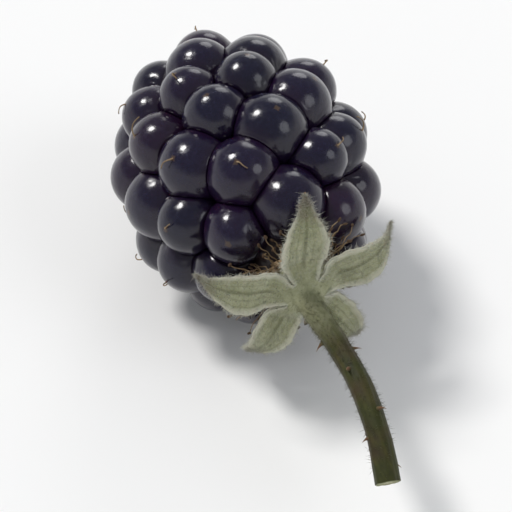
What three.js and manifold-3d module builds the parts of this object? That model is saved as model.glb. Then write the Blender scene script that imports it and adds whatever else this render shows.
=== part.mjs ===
// A ripe bramble fruit, picked with its stalk and lying on its side on a level surface.
// Millimetres, +Z up. The surface is z = 0 and the origin is the middle of the footprint.
// The fruit's axis runs along Y: its tip points to +Y, its calyx and stalk to -Y.
// Pieces: the fruit (its drupelets grown together on their core), the stalk with the cup of
// the calyx, five sepals, and the wreath of withered stamens between the sepals and the fruit.
import * as THREE from "three";
import { mergeVertices } from "three/addons/utils/BufferGeometryUtils.js";
import Module from "manifold-3d";

// ---- Driving dimensions, in mm unless said otherwise -------------------------------------
const FRUIT_LENGTH = 21.6; // of the ovoid that the crowns touch; the base ring stops short of its pole
const FRUIT_WIDTH = 17; // over the crowns at the widest place
const BASE_Y = 0.7; // base pole of that ovoid, along the axis from the rim of the calyx cup
const TAPER = 0.12; // how much narrower the tip half is than an ellipsoid
const BASE_FLAT = 0.62; // below 1 flattens the base half of the profile

const DRUPELETS = 57;
const DRUPELET_DEPTH = 2.55; // centre of a drupelet to its crown
const DRUPELET_SPREAD = 1.36; // half width of a drupelet over its share of the spacing
const SIZE_SPREAD = 0.16; // difference between the largest and smallest, as a share
const CALYX_CLEARANCE = 3.6; // nearest that a drupelet's centre comes to the base pole
const SEED = 11;

const CORE_WIDTH = 13.2;
const CORE_TO_TIP = 8.7; // from the middle of the fruit
const CORE_TO_BASE = 9.9;

const STALK_RADIUS = 0.72;
const STALK_POINTS = [
  // centre line, from inside the cup to the cut end
  [0, 0.1, 0],
  [0, -1.8, 0],
  [0.25, -4.6, 0.1],
  [0.55, -7.6, -0.35],
  [0.5, -10.4, -1.25],
  [0.15, -12.9, -2.5],
];
const CUP_PROFILE = [
  // radius, y: the calyx cup, from the stalk up to its rim
  [0.0, -1.7],
  [0.74, -1.7],
  [0.88, -1.15],
  [1.3, -0.68],
  [1.86, -0.36],
  [2.08, -0.03],
  [1.98, 0.34],
  [1.55, 0.54],
  [0.0, 0.6],
];

const SEPALS = 5;
const SEPAL_START = 2.45; // radius where a sepal leaves the cup
const SEPAL_THICKNESS = 0.42;
const SEPAL_FORMS = [
  // azimuth in degrees, length, width, how far its tip is lifted off the fruit, sideways bend
  [18, 5.0, 3.0, 0.3, 0.3],
  [92, 5.3, 2.9, 0.9, -0.4],
  [163, 4.8, 3.1, 0.1, 0.2],
  [236, 4.7, 2.9, 0.4, 0.4],
  [307, 5.2, 2.8, 1.4, -0.3],
];

const COLLAR_RADIUS = 2.3;
const COLLAR_TUBE = 0.22;
const COLLAR_Y = 0.98;
const FILAMENTS = 18;
const FILAMENT_RADIUS = 0.16;

// The lie of the fruit: turned about its axis, then pitched, so that the crowns of a few
// drupelets carry it with its weight well inside them. Each is pressed flat by up to SETTLE.
const ROLL_DEG = 16.5116;
const PITCH_DEG = -0.0773;
const SETTLE = 0.22;

// ---- Solids --------------------------------------------------------------------------------
const wasm = await Module();
wasm.setup();

function solid(geometry) {
  const bare = new THREE.BufferGeometry();
  bare.setAttribute("position", geometry.getAttribute("position"));
  if (geometry.index) bare.setIndex(geometry.index);
  const merged = mergeVertices(bare, 1e-4);
  return new wasm.Manifold(
    new wasm.Mesh({
      numProp: 3,
      vertProperties: new Float32Array(merged.attributes.position.array),
      triVerts: new Uint32Array(merged.index.array),
    }),
  );
}

function geometryOf(body) {
  const m = body.getMesh();
  const position = new Float32Array(m.numVert * 3);
  for (let i = 0; i < m.numVert; i++)
    position.set(m.vertProperties.subarray(i * m.numProp, i * m.numProp + 3), i * 3);
  const g = new THREE.BufferGeometry();
  g.setAttribute("position", new THREE.BufferAttribute(position, 3));
  g.setIndex(new THREE.BufferAttribute(new Uint32Array(m.triVerts), 1));
  g.computeVertexNormals();
  return g;
}

// A repeatable sequence of numbers in 0..1.
function sequence(seed) {
  let s = seed >>> 0;
  return () => {
    s = (s + 0x6d2b79f5) >>> 0;
    let t = Math.imul(s ^ (s >>> 15), s | 1);
    t ^= t + Math.imul(t ^ (t >>> 7), t | 61);
    return ((t ^ (t >>> 14)) >>> 0) / 4294967296;
  };
}

// ---- Where the drupelets sit ------------------------------------------------------------------
// Their centres lie on an ovoid inside the fruit, DRUPELET_DEPTH under its outside. polar is 0 at
// the tip and pi at the base.
const MID_Y = BASE_Y + FRUIT_LENGTH / 2;
const HALF_LENGTH = FRUIT_LENGTH / 2 - DRUPELET_DEPTH;
const HALF_WIDTH = FRUIT_WIDTH / 2 - DRUPELET_DEPTH;

function onOvoid(polar, turn) {
  const c = Math.cos(polar);
  const s = Math.sin(polar);
  const flat = c < 0 ? 1 + (BASE_FLAT - 1) * c * c : 1;
  const r = HALF_WIDTH * Math.pow(s, flat) * (1 - TAPER * c * (c > 0 ? 1 : 0.5));
  return new THREE.Vector3(r * Math.cos(turn), MID_Y + HALF_LENGTH * c, r * Math.sin(turn));
}

// The angles of the place on the ovoid that is nearest to p.
function angles(p) {
  const turn = Math.atan2(p.z, p.x);
  const guess = Math.atan2(Math.hypot(p.x, p.z) / HALF_WIDTH, (p.y - MID_Y) / HALF_LENGTH);
  let low = Math.max(guess - 0.3, 0.001);
  let high = Math.min(guess + 0.3, Math.PI - 0.001);
  for (let i = 0; i < 18; i++) {
    const a = low + (high - low) / 3;
    const b = high - (high - low) / 3;
    if (onOvoid(a, turn).distanceToSquared(p) < onOvoid(b, turn).distanceToSquared(p)) high = b;
    else low = a;
  }
  return { polar: (low + high) / 2, turn };
}

function outward(polar, turn) {
  const e = 1e-4;
  const p = onOvoid(polar, turn);
  const u = onOvoid(polar + e, turn).sub(p);
  const v = onOvoid(polar, turn + e).sub(p);
  const n = u.cross(v).normalize();
  return n.dot(p.clone().sub(new THREE.Vector3(0, MID_Y, 0))) < 0 ? n.negate() : n;
}

// A spiral of drupelets, pushed apart until each has its own share of the surface.
function layDrupelets() {
  const next = sequence(SEED);
  const steps = 400;
  const share = [0];
  for (let i = 0; i < steps; i++) {
    const a = onOvoid((i * Math.PI) / steps, 0);
    const b = onOvoid(((i + 1) * Math.PI) / steps, 0);
    share.push(share[i] + a.distanceTo(b) * (a.x + b.x) * Math.PI);
  }
  const covered = share[Math.round(0.87 * steps)];
  const spacing = Math.sqrt(covered / DRUPELETS / 0.866);
  const list = [];
  for (let k = 0; k < DRUPELETS; k++) {
    const target = ((k + 0.5) / DRUPELETS) * covered;
    let i = 0;
    while (share[i + 1] < target) i++;
    const polar = ((i + (target - share[i]) / (share[i + 1] - share[i])) * Math.PI) / steps;
    const turn = k * 2.399963 + (next() - 0.5) * 0.5;
    const size = 1 + SIZE_SPREAD * (next() - 0.5);
    const radius = (spacing / 2) * size * (0.9 + 0.13 * Math.sin(polar));
    list.push({ polar, turn, radius });
  }
  for (let round = 0; round < 240; round++) {
    const at = list.map((d) => onOvoid(d.polar, d.turn));
    const push = at.map(() => new THREE.Vector3());
    for (let i = 0; i < at.length; i++)
      for (let j = i + 1; j < at.length; j++) {
        const apart = at[i].clone().sub(at[j]);
        const wanted = (list[i].radius + list[j].radius) * 1.34;
        const gap = apart.length();
        if (gap >= wanted) continue;
        apart.multiplyScalar(((wanted - gap) / gap) * 0.2);
        push[i].add(apart);
        push[j].sub(apart);
      }
    at.forEach((p, i) => {
      const pole = new THREE.Vector3(0, MID_Y - HALF_LENGTH, 0);
      const from = p.clone().sub(pole);
      if (from.length() < CALYX_CLEARANCE)
        push[i].add(from.setLength((CALYX_CLEARANCE - from.length()) * 1.2));
      Object.assign(list[i], angles(p.clone().add(push[i])));
    });
  }
  return list.map((d) => ({
    centre: onOvoid(d.polar, d.turn),
    normal: outward(d.polar, d.turn),
    radius: d.radius,
    spin: next() * Math.PI,
    height: DRUPELET_DEPTH * (1 + 0.05 * (next() - 0.5)),
  }));
}

// ---- The fruit ------------------------------------------------------------------------------------
function makeFruit() {
  const bodies = layDrupelets().map((d) => {
    const g = new THREE.IcosahedronGeometry(1, 2);
    const wide = d.radius * DRUPELET_SPREAD;
    g.rotateY(d.spin);
    g.scale(wide, d.height, wide);
    g.applyQuaternion(
      new THREE.Quaternion().setFromUnitVectors(new THREE.Vector3(0, 1, 0), d.normal),
    );
    g.translate(d.centre.x, d.centre.y, d.centre.z);
    return solid(g);
  });
  const profile = [];
  for (let i = 0; i <= 14; i++) {
    const a = (i / 14) * Math.PI;
    const y = MID_Y - (a < Math.PI / 2 ? CORE_TO_BASE : CORE_TO_TIP) * Math.cos(a);
    profile.push(new THREE.Vector2(i % 14 ? (CORE_WIDTH / 2) * Math.sin(a) : 0, y));
  }
  bodies.push(solid(new THREE.LatheGeometry(profile, 28)));
  return wasm.Manifold.union(bodies);
}

// ---- The stalk and the calyx cup ------------------------------------------------------------------
function makeStalk() {
  const path = new THREE.CatmullRomCurve3(STALK_POINTS.map((p) => new THREE.Vector3(...p)));
  const section = new THREE.Shape();
  for (let i = 0; i < 12; i++) {
    const a = (i / 12) * 2 * Math.PI;
    const x = STALK_RADIUS * Math.cos(a);
    const y = STALK_RADIUS * Math.sin(a);
    if (i) section.lineTo(x, y);
    else section.moveTo(x, y);
  }
  section.closePath();
  const stalk = new THREE.ExtrudeGeometry(section, { steps: 16, extrudePath: path, bevelEnabled: false });
  const cup = new THREE.LatheGeometry(CUP_PROFILE.map((p) => new THREE.Vector2(...p)), 24);
  return solid(stalk).add(solid(cup));
}

// ---- A sepal ----------------------------------------------------------------------------------------
// A pointed leaf, closed like a long lens. Its middle line leaves the cup, runs under the base of
// the fruit and turns up along its side.
function makeSepal([azimuth, length, width, lift, bend]) {
  const line = new THREE.CatmullRomCurve3([
    new THREE.Vector3(SEPAL_START, 0.0, 0),
    new THREE.Vector3(SEPAL_START + length * 0.3, -0.15 - lift * 0.2, bend * 0.1),
    new THREE.Vector3(SEPAL_START + length * 0.6, 0.4 - lift * 0.6, bend * 0.5),
    new THREE.Vector3(SEPAL_START + length * 0.82, 1.6 - lift, bend),
  ]);
  const g = new THREE.SphereGeometry(1, 14, 10);
  const p = g.getAttribute("position");
  for (let i = 0; i < p.count; i++) {
    const v = new THREE.Vector3().fromBufferAttribute(p, i);
    const along = Math.acos(THREE.MathUtils.clamp(v.y, -1, 1)) / Math.PI;
    const ring = Math.hypot(v.x, v.z) || 1;
    const across = v.x / ring;
    const through = v.z / ring;
    const half = (width / 2) * Math.pow(Math.sin(Math.PI * Math.pow(along, 0.72)), 0.8) * (ring > 1e-6 ? 1 : 0);
    const thick = (SEPAL_THICKNESS / 2) * Math.pow(Math.sin(Math.PI * along), 0.5);
    const at = line.getPoint(along);
    const ahead = line.getTangent(along);
    const side = new THREE.Vector3(0, 0, 1).addScaledVector(ahead, -ahead.z).normalize();
    const up = side.clone().cross(ahead).normalize();
    const cupped = 0.1 * half * across * across;
    at.addScaledVector(side, across * half);
    at.addScaledVector(up, through * thick - cupped);
    p.setXYZ(i, at.x, at.y, at.z);
  }
  g.rotateY(-THREE.MathUtils.degToRad(azimuth));
  const body = solid(g);
  return body.volume() < 0 ? solid(turned(g)) : body;
}

function turned(g) {
  const index = g.index.array;
  for (let i = 0; i < index.length; i += 3) [index[i], index[i + 1]] = [index[i + 1], index[i]];
  return g;
}

// ---- The wreath of stamens -----------------------------------------------------------------------
function makeStamens() {
  const next = sequence(SEED + 40);
  const ring = new THREE.TorusGeometry(COLLAR_RADIUS, COLLAR_TUBE, 6, 24);
  ring.rotateX(Math.PI / 2);
  ring.translate(0, COLLAR_Y, 0);
  const bodies = [solid(ring)];
  for (let i = 0; i < FILAMENTS; i++) {
    const a = ((i + 0.3 * (next() - 0.5)) / FILAMENTS) * 2 * Math.PI;
    const reach = 1.8 + 0.8 * next();
    const path = new THREE.CatmullRomCurve3([
      new THREE.Vector3(COLLAR_RADIUS, COLLAR_Y, 0),
      new THREE.Vector3(COLLAR_RADIUS + 0.8, COLLAR_Y - 0.4, 0.1 * (next() - 0.5)),
      new THREE.Vector3(COLLAR_RADIUS + reach, COLLAR_Y + 0.05, 0.7 * (next() - 0.5)),
    ]);
    const section = new THREE.Shape();
    for (let k = 0; k < 5; k++) {
      const t = (k / 5) * 2 * Math.PI;
      const x = FILAMENT_RADIUS * Math.cos(t);
      const y = FILAMENT_RADIUS * Math.sin(t);
      if (k) section.lineTo(x, y);
      else section.moveTo(x, y);
    }
    section.closePath();
    const g = new THREE.ExtrudeGeometry(section, { steps: 3, extrudePath: path, bevelEnabled: false });
    g.rotateY(-a);
    bodies.push(solid(g));
  }
  return wasm.Manifold.union(bodies);
}

// ---- The assembly -------------------------------------------------------------------------------------
const finish = {
  fruit: new THREE.MeshStandardMaterial({ color: 0x2a2734, roughness: 0.3, metalness: 0 }),
  stalk: new THREE.MeshStandardMaterial({ color: 0x6a6c46, roughness: 0.75, metalness: 0 }),
  sepal: new THREE.MeshStandardMaterial({ color: 0x80806a, roughness: 0.9, metalness: 0 }),
  stamen: new THREE.MeshStandardMaterial({ color: 0x5e4a35, roughness: 0.9, metalness: 0 }),
};

const turnedAboutAxis = new THREE.Matrix4().makeRotationY(THREE.MathUtils.degToRad(ROLL_DEG));
const pitched = new THREE.Matrix4()
  .makeRotationX(THREE.MathUtils.degToRad(PITCH_DEG))
  .multiply(new THREE.Matrix4().makeTranslation(0, -MID_Y, 0));

// The fruit first: it says how high the axis lies, and the surface presses its lowest crowns flat.
const resting = geometryOf(makeFruit()).applyMatrix4(turnedAboutAxis).applyMatrix4(pitched);
resting.computeBoundingBox();
const restHeight = -resting.boundingBox.min.z - SETTLE;
resting.translate(0, 0, restHeight);
const under = new THREE.BoxGeometry(60, 60, 20);
under.translate(0, 0, -10);

function lay(body) {
  return geometryOf(body).applyMatrix4(pitched).translate(0, 0, restHeight);
}

const fruit = new THREE.Group();

function add(name, geometry, material) {
  const mesh = new THREE.Mesh(geometry, material);
  mesh.name = name;
  fruit.add(mesh);
}

add("berry", SETTLE > 0 ? geometryOf(solid(resting).subtract(solid(under))) : resting, finish.fruit);
add("pedicel", lay(makeStalk()), finish.stalk);
SEPAL_FORMS.forEach((form, i) => add(`sepal_${i + 1}`, lay(makeSepal(form)), finish.sepal));
add("stamens", lay(makeStamens()), finish.stamen);

const part = new THREE.Group();
const box = new THREE.Box3().setFromObject(fruit);
fruit.position.set(-(box.min.x + box.max.x) / 2, -(box.min.y + box.max.y) / 2, 0);
part.add(fruit);

export default part;
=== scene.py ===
"""One ripe bramble fruit, picked with its stalk and lying on its side, in metres, +Z up.

The shapes are worked out in millimetres in the fruit's own frame, the one of the CAD model: the
axis along +Y, the tip at +Y, the rim of the calyx cup at y = 0. to_row() lays them down in the
frame's place.
"""

import math

import bpy
import numpy as np
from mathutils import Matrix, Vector
from mathutils.bvhtree import BVHTree


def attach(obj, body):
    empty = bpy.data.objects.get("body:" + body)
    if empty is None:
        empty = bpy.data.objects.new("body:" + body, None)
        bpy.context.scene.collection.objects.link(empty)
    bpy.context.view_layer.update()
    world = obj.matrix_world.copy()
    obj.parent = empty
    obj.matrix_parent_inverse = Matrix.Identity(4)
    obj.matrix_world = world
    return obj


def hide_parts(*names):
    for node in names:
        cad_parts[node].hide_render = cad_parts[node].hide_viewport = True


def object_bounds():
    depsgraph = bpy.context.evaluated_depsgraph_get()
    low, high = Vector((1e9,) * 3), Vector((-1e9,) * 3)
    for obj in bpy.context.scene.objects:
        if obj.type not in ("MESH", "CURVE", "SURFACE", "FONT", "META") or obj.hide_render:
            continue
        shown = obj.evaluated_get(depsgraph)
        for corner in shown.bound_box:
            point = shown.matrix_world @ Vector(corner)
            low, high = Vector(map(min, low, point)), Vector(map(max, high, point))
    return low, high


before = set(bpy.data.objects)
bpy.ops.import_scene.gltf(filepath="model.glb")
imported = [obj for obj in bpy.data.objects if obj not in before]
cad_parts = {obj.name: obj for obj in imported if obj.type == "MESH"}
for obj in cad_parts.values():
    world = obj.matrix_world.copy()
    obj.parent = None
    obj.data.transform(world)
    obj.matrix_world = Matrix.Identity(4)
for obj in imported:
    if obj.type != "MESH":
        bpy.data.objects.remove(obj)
cad_box = [list(corner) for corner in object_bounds()]

# ---- Where the fruit lies, in mm and degrees, as in the CAD model -------------------------------
MM = 0.001
MID_Y = 11.5
ROLL = 16.5116
PITCH = -0.0773
REST_HEIGHT = 7.933896
SHIFT = (0.01738, 7.066928, 0.0)

STALK_POINTS = [
    (0, 0.1, 0), (0, -1.8, 0), (0.25, -4.6, 0.1), (0.55, -7.6, -0.35), (0.5, -10.4, -1.25),
    (0.15, -12.9, -2.5),
]
SEPAL_START = 2.45
SEPAL_FORMS = [  # azimuth in degrees, length, width, lift of the tip, sideways bend
    (18, 5.0, 3.0, 0.3, 0.3), (92, 5.3, 2.9, 0.9, -0.4), (163, 4.8, 3.1, 0.1, 0.2),
    (236, 4.7, 2.9, 0.4, 0.4), (307, 5.2, 2.8, 1.4, -0.3),
]

# Each drupelet: its centre, its outward direction, its share of the spacing, and its height over
# the centre. FACES joins the centres that are neighbours; number 57 is the place of the calyx.
CALYX = 57
CALYX_POLE = (0, 3.25, 0)
DRUPELET_SPREAD = 1.36
DRUPELETS = [
    (1.4057, 19.2219, -1.2169, 0.37797, 0.86608, -0.32718, 1.5349, 2.5343),
    (-0.6306, 19.5722, 0.882, -0.18209, 0.94973, 0.25467, 1.583, 2.5696),
    (-0.6111, 18.3012, -2.9725, -0.14268, 0.70547, -0.69423, 1.5907, 2.5228),
    (2.2266, 18.5485, 1.6564, 0.53729, 0.74265, 0.39974, 1.6044, 2.549),
    (-2.6209, 18.6057, -0.6921, -0.63755, 0.75177, -0.1684, 1.5963, 2.515),
    (3.2162, 17.1926, -2.2932, 0.66919, 0.5697, -0.4771, 1.7085, 2.5264),
    (-1.1712, 17.8558, 3.2375, -0.25975, 0.64588, 0.71789, 1.6728, 2.5569),
    (-2.8239, 16.4971, -3.3614, -0.55688, 0.50038, -0.66295, 1.5474, 2.5093),
    (4.167, 16.7817, 0.6643, 0.83881, 0.52774, 0.13376, 1.5842, 2.6055),
    (-3.7758, 16.9924, 1.5592, -0.77265, 0.54886, 0.31901, 1.6167, 2.4869),
    (1.071, 16.3479, -4.3448, 0.20916, 0.48648, -0.84828, 1.556, 2.5947),
    (1.5649, 16.6294, 4.0185, 0.31146, 0.51294, 0.79993, 1.6798, 2.5755),
    (-4.6807, 15.5076, -1.4416, -0.87051, 0.41268, -0.26815, 1.7555, 2.4864),
    (5.1724, 14.3651, -1.3558, 0.91666, 0.31942, -0.24022, 1.7395, 2.5489),
    (-2.6659, 15.1865, 4.2743, -0.48826, 0.3859, 0.78274, 1.7043, 2.5892),
    (-1.5623, 14.7551, -4.9686, -0.28087, 0.35072, -0.89337, 1.5557, 2.4971),
    (4.1164, 14.8612, 3.1249, 0.74328, 0.35931, 0.5643, 1.8056, 2.5644),
    (-5.1804, 14.1257, 1.6114, -0.9108, 0.30035, 0.28326, 1.585, 2.5927),
    (3.5542, 14.053, -4.1287, 0.62349, 0.29458, -0.72421, 1.6412, 2.6115),
    (0.2025, 14.2945, 5.3669, 0.03576, 0.31379, 0.94882, 1.705, 2.5077),
    (-3.9162, 13.0381, -4.1622, -0.66938, 0.21373, -0.71151, 1.5898, 2.5366),
    (5.6429, 12.7007, 1.2691, 0.9585, 0.1865, 0.21561, 1.7741, 2.5542),
    (-4.0018, 12.5679, 4.2098, -0.67829, 0.17569, 0.71348, 1.5607, 2.494),
    (0.735, 12.9145, -5.694, 0.12538, 0.2038, -0.97095, 1.7823, 2.5207),
    (2.9783, 12.5595, 4.9884, 0.50467, 0.175, 0.84539, 1.698, 2.5788),
    (-5.6366, 12.3461, -1.5498, -0.95217, 0.15751, -0.26186, 1.6921, 2.5294),
    (5.4559, 11.3278, -2.3893, 0.91567, 0.02814, -0.40094, 1.5808, 2.5338),
    (-1.2027, 11.7687, 5.8002, -0.20187, 0.10921, 0.97331, 1.5692, 2.5241),
    (-1.8072, 10.7831, -5.6778, -0.30319, -0.0198, -0.95273, 1.7289, 2.5175),
    (4.8802, 10.4193, 3.3959, 0.8197, -0.05187, 0.57044, 1.6729, 2.5267),
    (-5.6594, 11.0073, 1.8712, -0.94946, -3e-05, 0.31388, 1.6522, 2.5683),
    (3.3077, 10.6812, -4.9531, 0.55516, -0.02879, -0.83124, 1.7546, 2.5029),
    (1.4026, 10.0156, 5.7486, 0.23609, -0.08724, 0.96781, 1.761, 2.5911),
    (-4.193, 9.5897, -4.1108, -0.70852, -0.1241, -0.6947, 1.7047, 2.5904),
    (5.816, 9.2084, 0.1509, 0.98734, -0.15652, 0.02566, 1.7812, 2.5668),
    (-3.4163, 9.7566, 4.8001, -0.57639, -0.10972, 0.80977, 1.5844, 2.5805),
    (0.7622, 8.8118, -5.6975, 0.13024, -0.1896, -0.97319, 1.7192, 2.499),
    (3.4058, 7.8666, 4.3527, 0.59402, -0.26584, 0.75925, 1.6488, 2.5811),
    (-5.7107, 9.1525, -1.0641, -0.97021, -0.16123, -0.18083, 1.7998, 2.5006),
    (4.4604, 8.1252, -3.3779, 0.77287, -0.24528, -0.58525, 1.7148, 2.4986),
    (-0.9849, 7.8169, 5.4243, -0.17207, -0.26977, 0.94743, 1.7897, 2.5677),
    (-1.6018, 6.789, -4.9229, -0.2896, -0.35171, -0.89019, 1.6571, 2.5599),
    (4.6735, 6.5788, 2.0309, 0.85232, -0.36923, 0.37043, 1.6754, 2.5763),
    (-4.8332, 7.9256, 2.7136, -0.84173, -0.26116, 0.47253, 1.7698, 2.5836),
    (2.1738, 6.341, -4.5008, 0.40055, -0.38979, -0.82923, 1.64, 2.5123),
    (1.3545, 5.9661, 4.6374, 0.25378, -0.42466, 0.86906, 1.5488, 2.566),
    (-4.0325, 6.4457, -3.0266, -0.73956, -0.38062, -0.55514, 1.6677, 2.5581),
    (4.7441, 6.202, -1.3711, 0.87952, -0.40231, -0.25414, 1.5463, 2.5966),
    (-2.8631, 5.8527, 3.8241, -0.5394, -0.43601, 0.72038, 1.6778, 2.598),
    (-0.7137, 3.9743, -3.334, -0.13032, -0.78246, -0.60891, 1.7607, 2.5536),
    (2.4145, 4.0032, 2.4576, 0.44449, -0.77311, 0.45248, 1.6601, 2.5185),
    (-4.9051, 6.1353, 0.1868, -0.91211, -0.40848, 0.0347, 1.6223, 2.504),
    (2.1961, 3.9896, -2.6328, 0.40285, -0.7775, -0.48291, 1.6567, 2.5465),
    (-0.6609, 3.9094, 3.2586, -0.11823, -0.80401, 0.58274, 1.7355, 2.6125),
    (-2.9865, 3.9676, -1.6273, -0.54435, -0.78466, -0.29664, 1.5042, 2.5452),
    (3.3888, 3.9593, -0.105, 0.61614, -0.7874, -0.01906, 1.6226, 2.4988),
    (-3.1796, 3.9653, 1.1987, -0.57917, -0.78543, 0.21831, 1.532, 2.4983),
]
FACES = [
    (21, 16, 29), (21, 26, 13), (53, 57, 50), (53, 50, 45), (39, 31, 26), (39, 26, 47),
    (18, 5, 13), (18, 13, 26), (18, 26, 31), (34, 47, 26), (34, 26, 21), (34, 21, 29),
    (24, 29, 16), (32, 24, 19), (0, 1, 3), (8, 13, 5), (8, 5, 0), (8, 0, 3), (8, 3, 16),
    (8, 16, 21), (8, 21, 13), (6, 3, 1), (6, 14, 19), (43, 35, 30), (43, 30, 51), (48, 35, 43),
    (54, 51, 46), (54, 46, 49), (54, 49, 57), (41, 49, 46), (41, 46, 33), (52, 39, 47),
    (52, 57, 49), (23, 18, 31), (23, 31, 36), (42, 47, 34), (42, 34, 29), (22, 30, 35),
    (22, 14, 17), (22, 17, 30), (27, 32, 19), (27, 19, 14), (27, 14, 22), (27, 22, 35),
    (37, 29, 24), (37, 24, 32), (37, 32, 45), (37, 45, 50), (37, 50, 42), (37, 42, 29),
    (10, 0, 5), (10, 5, 18), (10, 18, 23), (10, 23, 15), (11, 3, 6), (11, 6, 19), (11, 19, 24),
    (11, 24, 16), (11, 16, 3), (9, 17, 14), (9, 14, 6), (9, 6, 1), (9, 12, 17), (2, 1, 0),
    (2, 0, 10), (2, 10, 15), (25, 30, 17), (25, 17, 12), (25, 12, 20), (25, 20, 33),
    (56, 51, 54), (56, 54, 57), (56, 57, 53), (56, 53, 48), (56, 48, 43), (56, 43, 51),
    (28, 36, 41), (28, 41, 33), (28, 33, 20), (28, 20, 15), (28, 15, 23), (28, 23, 36),
    (44, 36, 31), (44, 31, 39), (44, 39, 52), (44, 52, 49), (44, 49, 41), (44, 41, 36),
    (55, 47, 42), (55, 42, 50), (55, 50, 57), (55, 57, 52), (55, 52, 47), (40, 48, 53),
    (40, 53, 45), (40, 45, 32), (40, 32, 27), (40, 27, 35), (40, 35, 48), (4, 12, 9), (4, 9, 1),
    (4, 1, 2), (7, 12, 4), (7, 4, 2), (7, 2, 15), (7, 15, 20), (7, 20, 12), (38, 46, 51),
    (38, 51, 30), (38, 30, 25), (38, 25, 33), (38, 33, 46),
]


# ---- Small tools ------------------------------------------------------------------------------------
def turn_x(degrees):
    c, s = math.cos(math.radians(degrees)), math.sin(math.radians(degrees))
    return np.array([[1, 0, 0], [0, c, -s], [0, s, c]])


def turn_y(degrees):
    c, s = math.cos(math.radians(degrees)), math.sin(math.radians(degrees))
    return np.array([[c, 0, s], [0, 1, 0], [-s, 0, c]])


def to_row(points, rolled=False):
    """Points of the fruit's own frame, in mm, to the row frame, still in mm."""
    p = np.asarray(points, float)
    if rolled:
        p = p @ turn_y(ROLL).T
    p = (p - (0, MID_Y, 0)) @ turn_x(PITCH).T
    return p + (0, 0, REST_HEIGHT) + SHIFT


def unit(v):
    v = np.asarray(v, float)
    return v / np.maximum(np.linalg.norm(v, axis=-1, keepdims=True), 1e-12)


def smooth(x):
    x = np.clip(x, 0, 1)
    return x * x * (3 - 2 * x)


def table(xs, ys, x):
    """A smooth curve through the given values."""
    xs, ys = np.asarray(xs, float), np.asarray(ys, float)
    x = np.clip(x, xs[0], xs[-1])
    slope = np.gradient(ys, xs)
    i = np.clip(np.searchsorted(xs, x) - 1, 0, len(xs) - 2)
    h = xs[i + 1] - xs[i]
    t = (x - xs[i]) / h
    a, b = 2 * t**3 - 3 * t**2 + 1, t**3 - 2 * t**2 + t
    c, d = -2 * t**3 + 3 * t**2, t**3 - t**2
    return a * ys[i] + b * h * slope[i] + c * ys[i + 1] + d * h * slope[i + 1]


def spline(points, t):
    """Centripetal Catmull-Rom, the curve that the CAD model uses. t is an array in 0..1."""
    p = np.asarray(points, float)
    p = np.vstack([2 * p[0] - p[1], p, 2 * p[-1] - p[-2]])
    spans = len(p) - 3
    where = np.clip(np.asarray(t, float), 0, 1) * spans
    i = np.minimum(where.astype(int), spans - 1)
    w = (where - i)[:, None]
    p0, p1, p2, p3 = p[i], p[i + 1], p[i + 2], p[i + 3]

    def step(a, b):
        return np.sqrt(np.linalg.norm(b - a, axis=1, keepdims=True))

    d0, d1, d2 = step(p0, p1), step(p1, p2), step(p2, p3)
    m1 = ((p1 - p0) / d0 - (p2 - p0) / (d0 + d1) + (p2 - p1) / d1) * d1
    m2 = ((p2 - p1) / d1 - (p3 - p1) / (d1 + d2) + (p3 - p2) / d2) * d1
    return (p1 + m1 * w + (-3 * p1 + 3 * p2 - 2 * m1 - m2) * w**2
            + (2 * p1 - 2 * p2 + m1 + m2) * w**3)


def along(path):
    """The direction of a path at each of its points."""
    ahead = np.empty_like(path)
    ahead[1:-1] = path[2:] - path[:-2]
    ahead[0], ahead[-1] = path[1] - path[0], path[-1] - path[-2]
    return unit(ahead)


def carried(path, start):
    """A direction square to a path, carried along it with no twist."""
    ahead = along(path)
    out = np.empty_like(path)
    side = np.asarray(start, float)
    for i, a in enumerate(ahead):
        side = side - side @ a * a
        side = side / np.linalg.norm(side)
        out[i] = side
    return ahead, out


class Shape:
    """Vertices and faces being put together, with numbers carried by the vertices."""

    def __init__(self, *names):
        self.points, self.faces, self.count = [], [], 0
        self.values = {n: [] for n in names}

    def add(self, points, faces, **values):
        points = np.asarray(points, float).reshape(-1, 3)
        for f in faces:
            self.faces.append(tuple(int(i) + self.count for i in f))
        for n, kept in self.values.items():
            kept.append(np.broadcast_to(np.asarray(values.get(n, 0.0), float), (len(points),)))
        self.points.append(points)
        self.count += len(points)

    def all_points(self):
        return np.vstack(self.points)


def grid_faces(rows, columns, closed=True):
    """Quads between rows of points; each row is a ring if closed."""
    r = np.arange(rows - 1)[:, None] * columns
    c = np.arange(columns if closed else columns - 1)[None, :]
    d = (c + 1) % columns
    return np.stack([r + c, r + d, r + columns + d, r + columns + c], -1).reshape(-1, 4).tolist()


def tube(path, radii, sides, start=(0.31, 0.87, 0.38)):
    """A closed tube with its two ends drawn in to a point each."""
    path = np.asarray(path, float)
    ahead, side = carried(path, start)
    up = np.cross(ahead, side)
    turn = np.arange(sides) / sides * 2 * math.pi
    around = np.cos(turn)[None, :, None] * side[:, None] + np.sin(turn)[None, :, None] * up[:, None]
    rings = path[:, None] + around * np.asarray(radii, float)[:, None, None]
    points = np.vstack([rings.reshape(-1, 3), path[0] - ahead[0] * radii[0] * 0.4,
                        path[-1] + ahead[-1] * radii[-1] * 0.6])
    n, first = len(path), len(path) * sides
    faces = grid_faces(n, sides)
    for k in range(sides):
        faces.append((first, (k + 1) % sides, k))
        faces.append((first + 1, (n - 1) * sides + k, (n - 1) * sides + (k + 1) % sides))
    return points, faces


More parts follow.
